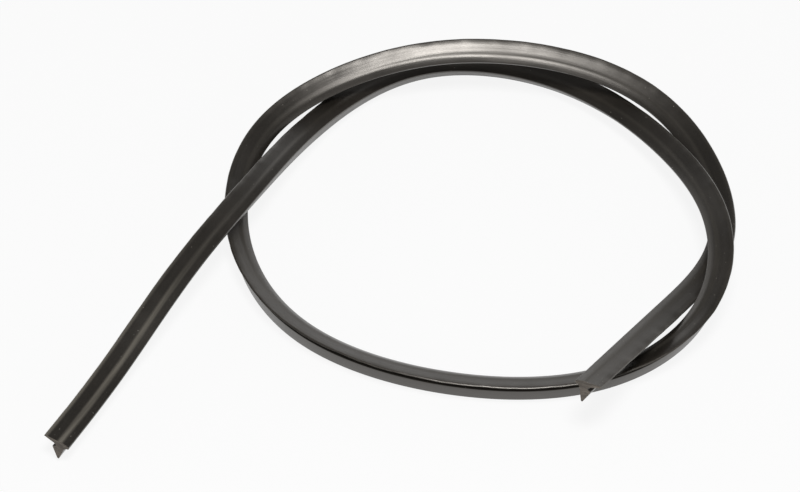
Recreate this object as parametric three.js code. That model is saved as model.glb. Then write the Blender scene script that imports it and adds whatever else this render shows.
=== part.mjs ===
// Oven door gasket: one length of moulded rubber strip, cut square at both ends, that lies
// on the bench in a loose coil of about one and three quarter turns and passes over and
// under itself. Lengths are in millimetres, angles in degrees, +Z is up, the bench is z = 0.

import * as THREE from 'three';

// Flange: the flat top of the strip, thick at its heel and tapered out to a thin lip.
const FLANGE_WIDTH = 12;
const HEEL_EDGE = 1.7;
const HEEL_ROUND = 0.3;
const LIP_ROOT_FROM_HEEL = 6.6;
const LIP_ROOT_DEPTH = 2.1;
const LIP_EDGE = 0.5;
const LIP_ROUND = 1.8;
const LIP_DROP = 0.35;

// Crease that runs along the flange above the dart.
const CREASE_FROM_HEEL = 3.3;
const CREASE_HALF_WIDTH = 1.1;
const CREASE_DEPTH = 0.25;

// Dart: the wedge with one barb that is pushed into the groove of the door frame.
const DART_DEPTH = 9.6;
const DART_TIP_FROM_HEEL = 3.4;
const DART_TIP_RADIUS = 0.35;
const DART_SHOULDER_FROM_HEEL = 1.8;
const DART_SHOULDER_DEPTH = 4.4;
const NECK_FROM_HEEL = 5.8;
const NECK_DEPTH = 3.2;
const NECK_GAP = 0.5;
const BARB_FROM_HEEL = 7;
const BARB_DEPTH = 4.2;
const BARB_EDGE = 0.4;

// Coil: the radius that the strip springs into, its bank, and how clear its strands stay.
const RING_RADIUS = 111;
const RING_BANK = 18;
const STRAND_CLEARANCE = 0.8;

// Facets: how finely the section's curves and the sweep are cut.
const CURVE_SEGMENTS = 2;
const SWEEP_STEP = 8;

// Stations that the strip is drawn towards, from one cut end to the other: x and y in ring
// radii from the middle of the ring, height in storeys above lying flat, and bank, which
// lifts the lip on the outer side. One storey is what a strand needs to pass over another.
const STATIONS = [
	[ - 1.62, - 1.31, 0.15, 15 ],
	[ - 1.44, - 0.90, - 0.05, 15 ],
	[ - 1.20, - 0.43, 1.10, 12 ],
	[ - 0.93, 0.09, 1.15, 8 ],
	[ - 0.71, 0.70, 0.00, 0 ],
	[ - 0.24, 1.18, 0.05, 23 ],
	[ 0.44, 1.02, - 0.05, 24 ],
	[ 0.86, 0.38, 0.50, 20 ],
	[ 1.00, - 0.20, 1.25, 22 ],
	[ 0.90, - 0.68, 0.55, 20 ],
	[ 0.46, - 0.98, - 0.10, 19 ],
	[ - 0.19, - 0.98, 0.05, 20 ],
	[ - 0.76, - 0.70, 0.10, 27 ],
	[ - 1.02, - 0.16, - 0.05, 25 ],
	[ - 1.01, 0.43, 0.15, 35 ],
	[ - 0.75, 0.78, 0.85, 45 ],
	[ - 0.16, 1.00, 1.70, 39 ],
	[ 0.58, 0.89, 1.40, 36 ],
	[ 0.95, 0.53, 0.35, 20 ],
	[ 1.06, - 0.13, - 0.15, 4 ],
	[ 0.74, - 0.58, 0.30, - 4 ],
	[ 0.38, - 1.18, 1.75, 6 ],
];

// Distance from the middle of the flange, positive towards the lip.
const fromHeel = ( distance ) => distance - FLANGE_WIDTH / 2;

// Section: x runs outwards along the flange, y up, with y = 0 on the flange's top face.
function stripSection() {

	const heel = fromHeel( 0 );
	const lip = fromHeel( FLANGE_WIDTH );
	const shoulder = fromHeel( DART_SHOULDER_FROM_HEEL );
	const tip = fromHeel( DART_TIP_FROM_HEEL );
	const barb = fromHeel( BARB_FROM_HEEL );
	const neck = fromHeel( NECK_FROM_HEEL );
	const lipRoot = fromHeel( LIP_ROOT_FROM_HEEL );
	const crease = fromHeel( CREASE_FROM_HEEL );
	const tipCentre = - DART_DEPTH + DART_TIP_RADIUS;
	const barbRoot = - BARB_DEPTH - BARB_EDGE;
	const neckTop = - NECK_DEPTH + NECK_GAP / 2;
	const neckBottom = - NECK_DEPTH - NECK_GAP / 2;
	const underLip = - LIP_DROP - LIP_EDGE;

	const section = new THREE.Shape();
	section.moveTo( heel + HEEL_ROUND, 0 );
	section.quadraticCurveTo( heel, 0, heel, - HEEL_ROUND );
	section.lineTo( heel, - HEEL_EDGE );
	section.quadraticCurveTo( shoulder, - HEEL_EDGE - HEEL_ROUND, shoulder, - DART_SHOULDER_DEPTH );
	section.lineTo( tip - DART_TIP_RADIUS, tipCentre );
	section.absarc( tip, tipCentre, DART_TIP_RADIUS, Math.PI, 2 * Math.PI, false );
	section.lineTo( barb, barbRoot );
	section.quadraticCurveTo( barb + BARB_EDGE, - BARB_DEPTH, barb, - BARB_DEPTH + BARB_EDGE );
	section.lineTo( neck, neckBottom );
	section.quadraticCurveTo( neck - NECK_GAP, - NECK_DEPTH, neck, neckTop );
	section.lineTo( lipRoot, - LIP_ROOT_DEPTH );
	section.quadraticCurveTo( lip - LIP_ROUND, underLip - LIP_EDGE, lip, underLip );
	section.lineTo( lip, - LIP_DROP );
	section.quadraticCurveTo( lip - LIP_ROUND / 2, 0, lip - LIP_ROUND, 0 );
	section.lineTo( crease + CREASE_HALF_WIDTH, 0 );
	section.quadraticCurveTo( crease, - 2 * CREASE_DEPTH, crease - CREASE_HALF_WIDTH, 0 );
	section.closePath();
	return section;

}

// Height of the flange's middle when the strip rests on its dart tip at a given bank.
function restingHeight( bank ) {

	const tilt = THREE.MathUtils.degToRad( bank );
	return DART_DEPTH * Math.cos( tilt ) - fromHeel( DART_TIP_FROM_HEEL ) * Math.sin( tilt );

}

// Rise from one strand to the strand that passes over its raised lip.
function storeyHeight() {

	const lipRise = FLANGE_WIDTH / 2 * Math.sin( THREE.MathUtils.degToRad( RING_BANK ) );
	return DART_DEPTH + lipRise + STRAND_CLEARANCE;

}

// Route of the strip: a uniform cubic B-spline whose fourth value is the bank.
class StripRoute extends THREE.Curve {

	constructor( stations ) {

		super();
		this.arcLengthDivisions = 1600;
		const beyondStart = stations[ 0 ].clone().multiplyScalar( 2 ).sub( stations[ 1 ] );
		const beyondEnd = stations.at( - 1 ).clone().multiplyScalar( 2 ).sub( stations.at( - 2 ) );
		this.stations = [ beyondStart, ...stations, beyondEnd ];

	}

	blendAt( t ) {

		const spans = this.stations.length - 3;
		const first = Math.min( Math.floor( t * spans ), spans - 1 );
		const f = t * spans - first;
		const weights = [
			( 1 - f ) ** 3,
			3 * f ** 3 - 6 * f ** 2 + 4,
			- 3 * f ** 3 + 3 * f ** 2 + 3 * f + 1,
			f ** 3,
		];
		const blend = new THREE.Vector4( 0, 0, 0, 0 );
		weights.forEach( ( weight, i ) => blend.addScaledVector( this.stations[ first + i ], weight / 6 ) );
		return blend;

	}

	getPoint( t, target = new THREE.Vector3() ) {

		const { x, y, z } = this.blendAt( t );
		return target.set( x, y, z );

	}

	// The flange stays level across the coil apart from its bank, so the section never twists
	// by itself: its normal points out towards the lip and its binormal up through the flange.
	computeFrenetFrames( segments ) {

		const frames = { tangents: [], normals: [], binormals: [] };
		for ( let i = 0; i <= segments; i ++ ) {

			const bank = THREE.MathUtils.degToRad( this.blendAt( this.getUtoTmapping( i / segments ) ).w );
			const tangent = this.getTangentAt( i / segments );
			const outward = new THREE.Vector3( 0, 0, 1 ).cross( tangent ).normalize();
			const upward = tangent.clone().cross( outward );
			frames.tangents.push( tangent );
			frames.normals.push( outward.clone().applyAxisAngle( tangent, bank ) );
			frames.binormals.push( upward.clone().applyAxisAngle( tangent, bank ) );

		}

		return frames;

	}

}

// The strip: its section swept along the route, then set down with its lowest tip on the
// bench and the middle of its outline over the origin.
function sealingStrip() {

	const storey = storeyHeight();
	const route = new StripRoute( STATIONS.map( ( [ x, y, level, bank ] ) => new THREE.Vector4(
		x * RING_RADIUS, y * RING_RADIUS, restingHeight( bank ) + level * storey, bank ) ) );
	const geometry = new THREE.ExtrudeGeometry( stripSection(), {
		curveSegments: CURVE_SEGMENTS,
		steps: Math.round( route.getLength() / SWEEP_STEP ),
		extrudePath: route,
	} );
	geometry.computeBoundingBox();
	const { min, max } = geometry.boundingBox;
	geometry.translate( - ( min.x + max.x ) / 2, - ( min.y + max.y ) / 2, - min.z );

	const rubber = new THREE.MeshStandardMaterial( { color: 0x23211c, roughness: 0.42, metalness: 0 } );
	const strip = new THREE.Mesh( geometry, rubber );
	strip.name = 'sealing_strip';
	return strip;

}

const gasket = new THREE.Group();
gasket.add( sealingStrip() );

export default gasket;
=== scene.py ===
# %% [markdown]
# This lesson dresses an oven door gasket: one length of black rubber strip that lies in a
# loose coil and weaves over and under itself. The strip has a flat flange on top, thin at
# its outer lip and thick at its heel, and a barbed dart below that is pushed into a groove.
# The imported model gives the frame. Everything here is in metres, in that frame.

# %% Load the frame
import math

import bmesh
import bpy
from mathutils import Matrix, Vector


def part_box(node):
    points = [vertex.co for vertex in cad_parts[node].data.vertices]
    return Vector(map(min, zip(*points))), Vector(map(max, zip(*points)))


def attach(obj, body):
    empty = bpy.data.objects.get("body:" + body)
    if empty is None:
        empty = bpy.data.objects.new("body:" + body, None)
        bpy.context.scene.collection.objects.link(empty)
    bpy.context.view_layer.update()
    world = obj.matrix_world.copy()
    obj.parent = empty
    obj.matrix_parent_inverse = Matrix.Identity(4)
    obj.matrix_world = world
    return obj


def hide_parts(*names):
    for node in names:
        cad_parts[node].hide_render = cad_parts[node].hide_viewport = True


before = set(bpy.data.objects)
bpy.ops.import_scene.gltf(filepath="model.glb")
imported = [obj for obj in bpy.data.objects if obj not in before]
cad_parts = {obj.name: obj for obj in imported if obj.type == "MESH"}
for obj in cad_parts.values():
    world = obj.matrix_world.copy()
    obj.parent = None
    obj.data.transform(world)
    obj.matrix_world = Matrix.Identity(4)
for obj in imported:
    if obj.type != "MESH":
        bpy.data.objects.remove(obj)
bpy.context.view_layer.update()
MM = 0.001

# %% [markdown]
# The coil is the hardest thing to get right, so it is settled first. Its route is drawn
# towards a short list of stations, which were fitted to the strip's edges in the photograph
# and then rounded, and a uniform cubic B-spline smooths them. Such a curve has no jump in its
# curvature, so a long glossy highlight on it never breaks. A curve that passes through every
# station would be simpler to place, but it shows a faint kink in the highlight at each one.

# %% The sizes that the route and the section are worked out from
FLANGE_WIDTH = 12 * MM
DART_DEPTH = 9.6 * MM
DART_TIP_FROM_HEEL = 3.4 * MM
RING_RADIUS = 111 * MM
RING_BANK = math.radians(18)
STRAND_CLEARANCE = 0.8 * MM

# Each station: x and y in ring radii, height in storeys above lying flat, bank in degrees.
STATIONS = [
    (-1.62, -1.31, 0.15, 15),
    (-1.44, -0.90, -0.05, 15),
    (-1.20, -0.43, 1.10, 12),
    (-0.93, 0.09, 1.15, 8),
    (-0.71, 0.70, 0.00, 0),
    (-0.24, 1.18, 0.05, 23),
    (0.44, 1.02, -0.05, 24),
    (0.86, 0.38, 0.50, 20),
    (1.00, -0.20, 1.25, 22),
    (0.90, -0.68, 0.55, 20),
    (0.46, -0.98, -0.10, 19),
    (-0.19, -0.98, 0.05, 20),
    (-0.76, -0.70, 0.10, 27),
    (-1.02, -0.16, -0.05, 25),
    (-1.01, 0.43, 0.15, 35),
    (-0.75, 0.78, 0.85, 45),
    (-0.16, 1.00, 1.70, 39),
    (0.58, 0.89, 1.40, 36),
    (0.95, 0.53, 0.35, 20),
    (1.06, -0.13, -0.15, 4),
    (0.74, -0.58, 0.30, -4),
    (0.38, -1.18, 1.75, 6),
]
STOREY = DART_DEPTH + FLANGE_WIDTH / 2 * math.sin(RING_BANK) + STRAND_CLEARANCE


def resting_height(bank):
    """Height of the flange's middle when the strip rests on its dart tip."""
    tip_inwards = FLANGE_WIDTH / 2 - DART_TIP_FROM_HEEL
    return DART_DEPTH * math.cos(bank) + tip_inwards * math.sin(bank)


def stations_in_metres():
    """The stations as places and banks, with one more beyond each end."""
    placed = []
    for x, y, level, degrees in STATIONS:
        bank = math.radians(degrees)
        height = resting_height(bank) + level * STOREY
        placed.append(Vector((x * RING_RADIUS, y * RING_RADIUS, height, bank)))
    before = 2 * placed[0] - placed[1]
    after = 2 * placed[-1] - placed[-2]
    return [before, *placed, after]


STATION_POINTS = stations_in_metres()
print("stations:", len(STATIONS), "storey, mm:", round(STOREY / MM, 2))

# %% [markdown]
# The strip is swept by its length, so the curve is first measured in small steps. A table
# of length against the curve's own parameter then gives evenly spaced sections.


# %% Measure the route
MEASURE_STEPS = 4000
SECTION_STEP = 1.05 * MM


def blend_at(t):
    """Place and bank on the B-spline at t, from 0 to 1."""
    spans = len(STATION_POINTS) - 3
    first = min(int(t * spans), spans - 1)
    f = t * spans - first
    weights = (
        (1 - f) ** 3,
        3 * f**3 - 6 * f**2 + 4,
        -3 * f**3 + 3 * f**2 + 3 * f + 1,
        f**3,
    )
    blend = Vector((0, 0, 0, 0))
    for weight, point in zip(weights, STATION_POINTS[first : first + 4]):
        blend += point * (weight / 6)
    return blend


def measured_route():
    """The length of the route at each of the small steps."""
    lengths = [0.0]
    last = blend_at(0).xyz
    for i in range(1, MEASURE_STEPS + 1):
        here = blend_at(i / MEASURE_STEPS).xyz
        lengths.append(lengths[-1] + (here - last).length)
        last = here
    return lengths


ROUTE_LENGTHS = measured_route()
STRIP_LENGTH = ROUTE_LENGTHS[-1]
print("strip length, mm:", round(STRIP_LENGTH / MM, 1))

# %% [markdown]
# At each step the section needs a frame: the way along the strip, the way out towards the
# lip, and the way up through the flange. The usual rotation-minimising frame would let the
# flange drift, so each frame starts level across the strip and is turned by the bank alone.


# %% Frames along the strip
def frame_at(t):
    """A matrix that puts the flat section square on the route at t."""
    nudge = 1e-4
    ahead = blend_at(min(t + nudge, 1.0)).xyz
    behind = blend_at(max(t - nudge, 0.0)).xyz
    along = (ahead - behind).normalized()
    blend = blend_at(t)
    level = Vector((0, 0, 1)).cross(along).normalized()
    turn = Matrix.Rotation(blend.w, 3, along)
    outward = turn @ level
    upward = turn @ along.cross(level)
    placed = Matrix((outward, upward, along)).transposed().to_4x4()
    placed.translation = blend.xyz
    return placed


def section_frames():
    """One frame for each section, evenly spaced by length, with its distance along."""
    count = round(STRIP_LENGTH / SECTION_STEP)
    frames = []
    step = 0
    for i in range(count + 1):
        wanted = STRIP_LENGTH * i / count
        while step < MEASURE_STEPS - 1 and ROUTE_LENGTHS[step + 1] < wanted:
            step += 1
        gap = ROUTE_LENGTHS[step + 1] - ROUTE_LENGTHS[step]
        t = (step + (wanted - ROUTE_LENGTHS[step]) / gap) / MEASURE_STEPS
        frames.append((wanted, frame_at(min(t, 1.0))))
    return frames


FRAMES = section_frames()
print("sections:", len(FRAMES))

# %% [markdown]
# The section is drawn flat, as the die's opening is: a few corners, each with the rounding
# that the real edge has. x runs from the heel out to the lip and y up through the flange.
# The corners become one face, and the vertex bevel rounds each of them with its own radius,
# which is quicker to change than an outline of many points. The top isn't flat: it is
# crowned above the dart, and the lip curls down to a slanted edge. Both draw the light
# lines that run along the coil.

# %% Draw the section
HEEL = -FLANGE_WIDTH / 2
LIP = FLANGE_WIDTH / 2
SECTION_CORNERS = [
    # x, y, rounding, segments
    (HEEL, -0.3 * MM, 0.30 * MM, 3),
    (HEEL, -1.7 * MM, 0.25 * MM, 2),
    (HEEL + 1.75 * MM, -2.1 * MM, 1.2 * MM, 4),
    (HEEL + DART_TIP_FROM_HEEL - 0.35 * MM, -DART_DEPTH, 0.33 * MM, 3),
    (HEEL + DART_TIP_FROM_HEEL + 0.35 * MM, -DART_DEPTH, 0.33 * MM, 3),
    (HEEL + 7.0 * MM, -4.6 * MM, 0.15 * MM, 2),
    (HEEL + 7.3 * MM, -4.1 * MM, 0.2 * MM, 2),
    (HEEL + 6.9 * MM, -3.8 * MM, 0.12 * MM, 2),
    (HEEL + 5.7 * MM, -3.5 * MM, 0.3 * MM, 3),
    (HEEL + 5.7 * MM, -2.9 * MM, 0.25 * MM, 2),
    (HEEL + 6.6 * MM, -2.1 * MM, 0.35 * MM, 3),
    (LIP - 1.8 * MM, -1.25 * MM, 0.9 * MM, 2),
    (LIP, -0.85 * MM, 0.12 * MM, 2),
    (LIP - 0.4 * MM, -0.3 * MM, 0.15 * MM, 2),
    (LIP - 1.9 * MM, 0 * MM, 1.2 * MM, 4),
    (HEEL + 5.4 * MM, 0 * MM, 0.8 * MM, 4),
    (HEEL + 3.4 * MM, 0.3 * MM, 0.8 * MM, 4),
]


def section_outline():
    """The rounded outline as points in order, from a bevelled flat face."""
    bm = bmesh.new()
    corners = [bm.verts.new((x, y, 0)) for x, y, _, _ in SECTION_CORNERS]
    bm.faces.new(corners)
    for vert, (_, _, rounding, segments) in zip(corners, SECTION_CORNERS):
        bmesh.ops.bevel(
            bm, geom=[vert], offset=rounding, offset_type="OFFSET", affect="VERTICES",
            segments=segments, profile=0.5, material=-1, clamp_overlap=True,
        )
    bm.faces.ensure_lookup_table()
    outline = [loop.vert.co.copy() for loop in bm.faces[0].loops]
    bm.free()
    return outline


OUTLINE = section_outline()
print("section corners:", len(SECTION_CORNERS), "points after rounding:", len(OUTLINE))

# %% [markdown]
# A thin lip never lies quite straight once it has been handled. A few waves of different
# lengths, strongest at the very edge, bend it up and down by a tenth of a millimetre or so.

# %% How the lip wanders
LIP_WAVE = 0.10 * MM
LIP_WAVE_LENGTHS = ((0.031, 1.0), (0.0127, 0.55), (0.0071, 0.3))
LIP_WAVE_START = 0.45


def lip_wander(along, out):
    """How far the thin lip is bent up or down by handling, most at its very edge."""
    reach = max(0.0, (out - HEEL) / FLANGE_WIDTH - LIP_WAVE_START) / (1 - LIP_WAVE_START)
    waves = sum(size * math.sin(math.tau * along / length) for length, size in LIP_WAVE_LENGTHS)
    return LIP_WAVE * reach**2 * waves


print("lip wander 10 mm from the tail end, mm:", round(lip_wander(10 * MM, LIP) / MM, 3))

# %% [markdown]
# The sweep repeats one step more than a thousand times: extrude the open loop of edges, and
# set the new loop on the next frame. Each vertex remembers which corner of the section it
# came from, so its place is always worked out afresh and small errors never add up. It also
# keeps its strip coordinates, out and up in the section and along the length, which the
# rubber's fine grain will follow round the coil.


# %% Sweep the section along the route
def set_loop(verts, layers, along, placed):
    """Puts a loop of vertices on one frame and writes their strip coordinates."""
    corner_layer, strip_layer = layers
    for vert in verts:
        out, up, _ = OUTLINE[vert[corner_layer]]
        vert.co = placed @ Vector((out, up + lip_wander(along, out), 0))
        vert[strip_layer] = (out, up, along)


def swept_strip(bm):
    """Builds the strip in bm and returns its two cut faces."""
    layers = (bm.verts.layers.int.new("corner"), bm.verts.layers.float_vector.new("strip"))
    verts = [bm.verts.new() for _ in OUTLINE]
    for index, vert in enumerate(verts):
        vert[layers[0]] = index
    first_cap = bm.faces.new(verts)
    set_loop(verts, layers, *FRAMES[0])
    edges = list(first_cap.edges)
    for along, placed in FRAMES[1:]:
        grown = bmesh.ops.extrude_edge_only(bm, edges=edges)["geom"]
        verts = [part for part in grown if isinstance(part, bmesh.types.BMVert)]
        fresh = set(verts)
        edges = [
            part for part in grown
            if isinstance(part, bmesh.types.BMEdge) and fresh.issuperset(part.verts)
        ]
        set_loop(verts, layers, along, placed)
    last_cap = bmesh.ops.edgeloop_fill(bm, edges=edges)["faces"][0]
    return first_cap, last_cap


def strip_mesh():
    """The whole strip as a mesh, smooth along its length and sharp at its cut ends."""
    bm = bmesh.new()
    caps = swept_strip(bm)
    bmesh.ops.recalc_face_normals(bm, faces=bm.faces)
    for face in bm.faces:
        face.smooth = True
    for cap in caps:
        cap.material_index = 1
        cap.smooth = False
        for edge in cap.edges:
            edge.smooth = False
    mesh = bpy.data.meshes.new("sealing_strip_rubber")
    bm.to_mesh(mesh)
    bm.free()
    return mesh


strip = bpy.data.objects.new("sealing_strip_rubber", strip_mesh())
bpy.context.scene.collection.objects.link(strip)
print("strip quads:", len(strip.data.polygons))

# %% [markdown]
# The route was drawn round the middle of the ring, while the frame's origin is under the
# middle of the coil's outline. So the finished strip is moved once, by the distance between
# the two boxes' middles, and set down on the lowest point of the frame's own solid.


# %% Set the strip down in the frame
def box_of(mesh):
    """Lowest and highest corner of a mesh."""
    lows = Vector(min(vert.co[axis] for vert in mesh.vertices) for axis in range(3))
    highs = Vector(max(vert.co[axis] for vert in mesh.vertices) for axis in range(3))
    return lows, highs


strip_low, strip_high = box_of(strip.data)
node_low, node_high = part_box("sealing_strip")
SET_DOWN = (Vector(node_low) + Vector(node_high) - strip_low - strip_high) / 2
SET_DOWN.z = node_low[2] - strip_low.z
strip.data.transform(Matrix.Translation(SET_DOWN))
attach(strip, "root")
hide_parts("sealing_strip")
print("set down by, mm:", [round(v / MM, 2) for v in SET_DOWN])

# %% [markdown]
# Shader maths is easier to read as sums than as a web of nodes. A Wire is one socket that
# can be added, subtracted and multiplied, and a Finish is one node tree with a single method
# that makes any other node.


# %% Sums on sockets
class Wire:
    """A socket that can be used in sums with numbers and other wires."""

    def __init__(self, finish, socket):
        self.finish = finish
        self.socket = socket

    def sum(self, operation, first, second, clamp=False):
        settings = {"operation": operation, "use_clamp": clamp}
        return self.finish.node("ShaderNodeMath", settings, {0: first, 1: second})

    def __add__(self, other):
        return self.sum("ADD", self, other)

    def __radd__(self, other):
        return self.sum("ADD", other, self)

    def __sub__(self, other):
        return self.sum("SUBTRACT", self, other)

    def __rsub__(self, other):
        return self.sum("SUBTRACT", other, self)

    def __mul__(self, other):
        return self.sum("MULTIPLY", self, other)

    def __rmul__(self, other):
        return self.sum("MULTIPLY", other, self)

    def clamped(self):
        return self.sum("ADD", self, 0.0, clamp=True)


class Finish:
    """A node tree, with one method that makes any node."""

    def __init__(self, owner):
        owner.use_nodes = True
        self.owner = owner
        self.tree = owner.node_tree
        self.tree.nodes.clear()

    def node(self, kind, settings=None, inputs=None, output=0):
        made = self.tree.nodes.new(kind)
        for name, value in (settings or {}).items():
            setattr(made, name, value)
        for name, value in (inputs or {}).items():
            if isinstance(value, Wire):
                self.tree.links.new(value.socket, made.inputs[name])
            else:
                made.inputs[name].default_value = value
        return Wire(self, made.outputs[output]) if made.outputs else made

    def ramp(self, value, low, high, to_low=0.0, to_high=1.0):
        """Eases a value from to_low to to_high as it goes from low to high."""
        settings = {"interpolation_type": "SMOOTHSTEP"}
        inputs = {"Value": value, "From Min": low, "From Max": high,
                  "To Min": to_low, "To Max": to_high}
        return self.node("ShaderNodeMapRange", settings, inputs)

    def mix(self, factor, first, second):
        """A colour between two others."""
        settings = {"data_type": "RGBA"}
        inputs = {"Factor": factor, 6: first, 7: second}
        return self.node("ShaderNodeMix", settings, inputs, output=2)

    def noise(self, vector, scale, detail=3.0, roughness=0.5):
        inputs = {"Vector": vector, "Scale": scale, "Detail": detail, "Roughness": roughness}
        return self.node("ShaderNodeTexNoise", None, inputs)

    def part(self, vector, axis):
        """One number of a vector."""
        return self.node("ShaderNodeSeparateXYZ", None, {"Vector": vector}, output=axis)

    def stretched(self, vector, factors):
        """A vector with each of its numbers scaled by its own factor."""
        return self.node("ShaderNodeVectorMath", {"operation": "MULTIPLY"}, {0: vector, 1: factors})


print("sums on sockets ready")

# %% [markdown]
# The rubber is a very dark brownish black with a satin skin. Two sets of lines run along the
# whole of it: fine ones from the die, and broader, softer ones from drawing the strip off.
# Both are read from the strip coordinates, packed closely across the strip and stretched far
# along it. A plain noise in space would give grain but no lines. Over them lie a fine mottle,
# wide smudges and a few specks of dust. Painted highlights stand in for the light caught on
# the crown and the lip: paler stripes there, strongest towards the tail end, and a paler lip edge.

# %% The rubber's colours and sizes
RUBBER = (0.0085, 0.0072, 0.0056, 1)
# Paler rubber: random wear in the smudges and mottle, and a painted sheen on the lip's edge.
RUBBER_WORN_AND_SHEEN = (0.021, 0.0175, 0.0135, 1)
RUBBER_SHINE = (1.0, 0.945, 0.88, 1)
# Painted highlight colour for the paler stripes on the crown and the lip.
RUBBER_PAINTED_HIGHLIGHT = (0.15, 0.137, 0.113, 1)
DUST = (0.30, 0.28, 0.25, 1)

DIE_LINES_PER_METRE = 2600
DIE_LINE_DRIFT_PER_METRE = 34
DIE_LINE_HEIGHT = 0.012 * MM
DRAW_LINES_PER_METRE = 640
DRAW_LINE_DRIFT_PER_METRE = 24
DRAW_LINE_HEIGHT = 0.045 * MM
SKIN_GRAIN_PER_METRE = 4200
SKIN_GRAIN_HEIGHT = 0.009 * MM

SMUDGES_PER_METRE = 32
SMUDGE_LEVELS = (0.35, 0.75)
SMUDGE_WEAR = 0.55
MOTTLE_PER_METRE = 1500
MOTTLE_LEVELS = (0.42, 0.72)
MOTTLE_WEAR = 0.4
# Painted highlight: the lip's thin edge is made paler, as if it caught the light.
LIP_EDGE_WIDTH = 0.5 * MM
LIP_EDGE_PAINTED_SHEEN = 0.5
print("rubber sizes set, die lines per mm:", DIE_LINES_PER_METRE * MM)

# %% The dust and the painted highlights
UPWARD_LEVELS = (0.1, 0.7)
SPECKS_PER_METRE = 620
SPECK_SHARE = 0.09
SPECK_SHARE_BLUR = 0.02
SPECK_RADII = (0.05, 0.16)
DUST_COVER = 0.8

# Painted highlight: paler stripes on the crown and inside the lip, strongest near the tail end.
HIGHLIGHT_FROM_HEEL = 4.5 * MM
HIGHLIGHT_CORE = 0.2 * MM
HIGHLIGHT_HALF_WIDTH = 1.9 * MM
LIP_HIGHLIGHT_STARTS = 2.4 * MM
LIP_HIGHLIGHT_FULL = 0.8 * MM
LIP_HIGHLIGHT_SHARE = 0.8
HIGHLIGHT_TAIL_REACH = (0.02, 0.17)
HIGHLIGHT_TAIL_SHARES = (0.85, 0.10)
HIGHLIGHT_BREAK_LEVELS = (0.3, 0.6)
HIGHLIGHT_BREAK_LEAST = 0.55


def dust_specks(finish, place, facing_up):
    """Small round specks, each there by chance, on what faces up."""
    inputs = {"Vector": place, "Scale": SPECKS_PER_METRE}
    distance = finish.node("ShaderNodeTexVoronoi", None, inputs)
    chance = finish.part(finish.node("ShaderNodeTexVoronoi", None, inputs, output=1), 0)
    specks = finish.ramp(distance, *SPECK_RADII, 1.0, 0.0)
    chosen = finish.ramp(chance, 1 - SPECK_SHARE, 1 - SPECK_SHARE + SPECK_SHARE_BLUR)
    return specks * chosen * facing_up


def painted_tail_highlights(finish, strip_place, draw_lines, facing_up):
    """Painted highlight: paler stripes where the crown and the lip catch light, most at the tail end.
    """
    out = finish.part(strip_place, 0)
    along = finish.part(strip_place, 2)
    off_crown = finish.node(
        "ShaderNodeMath", {"operation": "ABSOLUTE"}, {0: out - (HEEL + HIGHLIGHT_FROM_HEEL)})
    crown = finish.ramp(off_crown, HIGHLIGHT_CORE, HIGHLIGHT_HALF_WIDTH, 1.0, 0.0)
    lip_highlight = finish.ramp(out, LIP - LIP_HIGHLIGHT_STARTS, LIP - LIP_HIGHLIGHT_FULL) * LIP_HIGHLIGHT_SHARE
    near_tail = finish.ramp(along, *HIGHLIGHT_TAIL_REACH, *HIGHLIGHT_TAIL_SHARES)
    broken_up = finish.ramp(draw_lines, *HIGHLIGHT_BREAK_LEVELS, HIGHLIGHT_BREAK_LEAST, 1.0)
    return (crown + lip_highlight).clamped() * near_tail * broken_up * facing_up


print("dust and scuffs ready")

# %% [markdown]
# The finish puts these layers together: first the colour, from the darkest rubber out to the
# dust, then the roughness, and last the height that feeds the bump.

# %% The rubber's finish
SKIN_ROUGHNESS = 0.19
LINE_ROUGHNESS = 0.08
DUST_ROUGHNESS = 0.3
HIGHLIGHT_ROUGHNESS = 0.15
SMUDGE_ROUGHNESS = 0.08
SMUDGE_ROUGHNESS_LEVELS = (0.3, 0.8)
MOTTLE_ROUGHNESS = 0.06


def strip_lines(finish, strip_place, per_metre, drift_per_metre, detail, roughness):
    """Noise packed closely across the strip and stretched far along it."""
    factors = (per_metre, per_metre, drift_per_metre)
    return finish.noise(finish.stretched(strip_place, factors), 1.0, detail, roughness)


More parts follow.
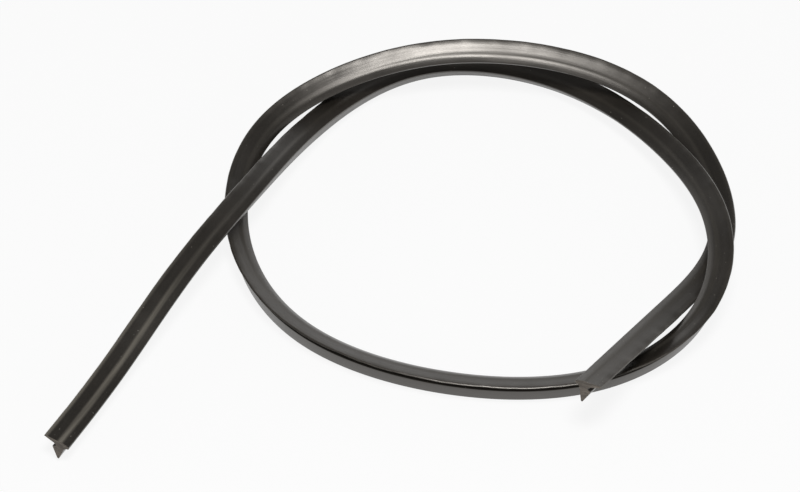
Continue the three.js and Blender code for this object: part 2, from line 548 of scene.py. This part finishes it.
def rubber_finish():
    finish = Finish(bpy.data.materials.new("seal_rubber"))
    strip_place = finish.node("ShaderNodeAttribute", {"attribute_name": "strip"}, output=1)
    place = finish.node("ShaderNodeTexCoord", output=3)
    normal = finish.node("ShaderNodeNewGeometry", output=1)
    facing_up = finish.ramp(finish.part(normal, 2), *UPWARD_LEVELS)

    lines = strip_lines(
        finish, strip_place, DIE_LINES_PER_METRE, DIE_LINE_DRIFT_PER_METRE, 4.0, 0.6)
    draw_lines = strip_lines(
        finish, strip_place, DRAW_LINES_PER_METRE, DRAW_LINE_DRIFT_PER_METRE, 2.0, 0.5)
    grain = finish.noise(place, SKIN_GRAIN_PER_METRE, 2.0)
    smudges = finish.noise(place, SMUDGES_PER_METRE, 4.0, 0.6)
    mottle = finish.noise(place, MOTTLE_PER_METRE, 3.0, 0.6)
    dust = dust_specks(finish, place, facing_up)
    # Painted highlights: paler stripes on the crown and the lip that stand in for caught light.
    painted_highlights = painted_tail_highlights(finish, strip_place, draw_lines, facing_up)
    # Painted highlight: the lip's thin edge turns paler.
    edge = finish.ramp(finish.part(strip_place, 0), LIP - LIP_EDGE_WIDTH, LIP)

    smudge_wear = finish.ramp(smudges, *SMUDGE_LEVELS, 0.0, SMUDGE_WEAR)
    mottle_wear = finish.ramp(mottle, *MOTTLE_LEVELS, 0.0, MOTTLE_WEAR)
    colour = finish.mix(smudge_wear, RUBBER, RUBBER_WORN_AND_SHEEN)
    colour = finish.mix(mottle_wear, colour, RUBBER_WORN_AND_SHEEN)
    # Painted sheen on the lip's edge.
    colour = finish.mix(edge * LIP_EDGE_PAINTED_SHEEN, colour, RUBBER_WORN_AND_SHEEN)
    # Painted highlight on the crown and the lip.
    colour = finish.mix(painted_highlights, colour, RUBBER_PAINTED_HIGHLIGHT)
    colour = finish.mix(dust * DUST_COVER, colour, DUST)

    roughness = SKIN_ROUGHNESS + lines * LINE_ROUGHNESS + draw_lines * LINE_ROUGHNESS
    roughness = roughness + dust * DUST_ROUGHNESS + painted_highlights * HIGHLIGHT_ROUGHNESS
    roughness = roughness + finish.ramp(smudges, *SMUDGE_ROUGHNESS_LEVELS, 0.0, SMUDGE_ROUGHNESS)
    roughness = roughness + mottle * MOTTLE_ROUGHNESS

    height = lines * DIE_LINE_HEIGHT + draw_lines * DRAW_LINE_HEIGHT + grain * SKIN_GRAIN_HEIGHT
    bump = finish.node("ShaderNodeBump", None, {"Height": height, "Distance": 1.0, "Strength": 1.0})
    skin = finish.node("ShaderNodeBsdfPrincipled", None, {
        "Base Color": colour, "Roughness": roughness.clamped(), "Normal": bump,
        "IOR": 1.6, "Specular IOR Level": 0.75, "Specular Tint": RUBBER_SHINE,
    })
    finish.node("ShaderNodeOutputMaterial", None, {"Surface": skin})
    return finish.owner


print("rubber's finish ready")

# %% [markdown]
# A blade went through both ends, so the cut rubber is dull, a little lighter than the skin,
# and has no die lines. Short tear marks run across it.

# %% The cut ends' finish
CUT_RUBBER = (0.15, 0.13, 0.11, 1)
CUT_RUBBER_DARK = (0.08, 0.07, 0.06, 1)
TEARS_PER_METRE = 900
TEAR_STRETCH = 6
TEAR_HEIGHT = 0.05 * MM


def cut_finish():
    finish = Finish(bpy.data.materials.new("cut_rubber"))
    strip_place = finish.node("ShaderNodeAttribute", {"attribute_name": "strip"}, output=1)
    factors = (TEARS_PER_METRE / TEAR_STRETCH, TEARS_PER_METRE, TEARS_PER_METRE)
    tears = finish.noise(finish.stretched(strip_place, factors), 1.0, 5.0, 0.7)
    colour = finish.mix(finish.ramp(tears, 0.35, 0.65), CUT_RUBBER_DARK, CUT_RUBBER)
    bump = finish.node("ShaderNodeBump", None, {"Height": tears * TEAR_HEIGHT, "Distance": 1.0})
    face = finish.node("ShaderNodeBsdfPrincipled", None, {
        "Base Color": colour, "Roughness": 0.8, "Normal": bump, "Specular IOR Level": 0.3,
    })
    finish.node("ShaderNodeOutputMaterial", None, {"Surface": face})
    return finish.owner


strip.data.materials.append(rubber_finish())
strip.data.materials.append(cut_finish())
print("finishes on the strip:", [material.name for material in strip.data.materials])

# %% [markdown]
# The photograph has a white table that runs up into a white backdrop. The floor shows as
# white to the camera and in reflections, yet keeps a soft shadow, by mixing a white glow
# with a lit white surface.

# %% The floor
FLOOR_SIZE = 12.0
FLOOR_GLOW = 0.88
FLOOR_WHITE = 0.82


def white_rays(finish):
    """1 for rays that should meet the white background, 0 for those that light things."""
    seen = [
        finish.node("ShaderNodeLightPath", output=name)
        for name in ("Is Camera Ray", "Is Glossy Ray", "Is Transmission Ray")
    ]
    return (seen[0] + seen[1] + seen[2]).clamped()


def floor_finish():
    finish = Finish(bpy.data.materials.new("white_floor"))
    white = (FLOOR_WHITE, FLOOR_WHITE, FLOOR_WHITE, 1)
    lit = finish.node("ShaderNodeBsdfDiffuse", None, {"Color": white})
    glow = finish.node("ShaderNodeEmission", None, {"Color": (1, 1, 1, 1), "Strength": 1.0})
    share = white_rays(finish) * FLOOR_GLOW
    surface = finish.node("ShaderNodeMixShader", None, {0: share, 1: lit, 2: glow})
    finish.node("ShaderNodeOutputMaterial", None, {"Surface": surface})
    return finish.owner


def white_floor():
    bm = bmesh.new()
    bmesh.ops.create_grid(bm, x_segments=1, y_segments=1, size=FLOOR_SIZE / 2)
    mesh = bpy.data.meshes.new("floor")
    bm.to_mesh(mesh)
    bm.free()
    mesh.materials.append(floor_finish())
    floor = bpy.data.objects.new("floor", mesh)
    bpy.context.scene.collection.objects.link(floor)
    return floor


white_floor()
print("floor laid")

# %% [markdown]
# The world is white near the horizon, as such a backdrop is, and fades to a dim ceiling
# above it, so the rubber's flange stays black where it mirrors the ceiling. The camera
# itself sees plain white.

# %% The world
BACKDROP_TOP = math.sin(math.radians(14))
BACKDROP_FADE = math.sin(math.radians(30))
CEILING = 0.125


def studio_world():
    world = bpy.data.worlds.new("studio")
    bpy.context.scene.world = world
    finish = Finish(world)
    heading = finish.node("ShaderNodeTexCoord", output=0)
    ceiling = finish.ramp(finish.part(heading, 2), BACKDROP_TOP, BACKDROP_FADE)
    camera = finish.node("ShaderNodeLightPath", output="Is Camera Ray")
    light = (1 - ceiling) + CEILING * ceiling
    shown = light * (1 - camera) + camera
    background = finish.node("ShaderNodeBackground", None, {"Color": (1, 1, 1, 1), "Strength": shown})
    finish.node("ShaderNodeOutputWorld", None, {"Surface": background})
    return world


studio_world()
print("world made")

# %% [markdown]
# One soft box lights the strip. It hangs above the camera's side of the table, where the
# raised far side of the coil mirrors it as one long highlight. The rest of the coil mirrors
# the backdrop or the dark ceiling, so a second lamp would only wash out its black.


# %% The lamp
def soft_box(name, place, target, size, watts):
    """A rectangular lamp that faces its target."""
    light = bpy.data.lights.new(name, "AREA")
    light.shape = "RECTANGLE"
    light.size, light.size_y = size
    light.energy = watts
    lamp = bpy.data.objects.new(name, light)
    lamp.location = place
    lamp.rotation_euler = (Vector(target) - Vector(place)).to_track_quat("-Z", "Y").to_euler()
    bpy.context.scene.collection.objects.link(lamp)
    return lamp


FAR_TURN = Vector((0.03, 0.12, 0.02))
soft_box("front_box", FAR_TURN + Vector((0.06, -0.71, 1.43)), FAR_TURN, (0.48, 0.42), 17.5)
print("lamp hung")

# %% [markdown]
# The camera looks along +Y from 40 degrees above the table, with a long lens from over a
# metre away, which is what the photograph's mild perspective asks for.

# %% The camera
CAMERA_ELEVATION = math.radians(40.6)
CAMERA_DISTANCE = 1.291
CAMERA_LENS = 126.9
CAMERA_TARGET = Vector((-0.0024, 0.0037, 0.0))


def photograph_camera():
    data = bpy.data.cameras.new("camera")
    data.lens = CAMERA_LENS
    data.sensor_width = 36.0
    data.clip_end = 50.0
    camera = bpy.data.objects.new("camera", data)
    back = Vector((0, -math.cos(CAMERA_ELEVATION), math.sin(CAMERA_ELEVATION)))
    camera.location = CAMERA_TARGET + back * CAMERA_DISTANCE
    camera.rotation_euler = (-back).to_track_quat("-Z", "Y").to_euler()
    bpy.context.scene.collection.objects.link(camera)
    bpy.context.scene.camera = camera
    return camera


photograph_camera()
bpy.context.scene.view_settings.view_transform = "Standard"
print("camera at, m:", [round(v, 3) for v in bpy.context.scene.camera.location])
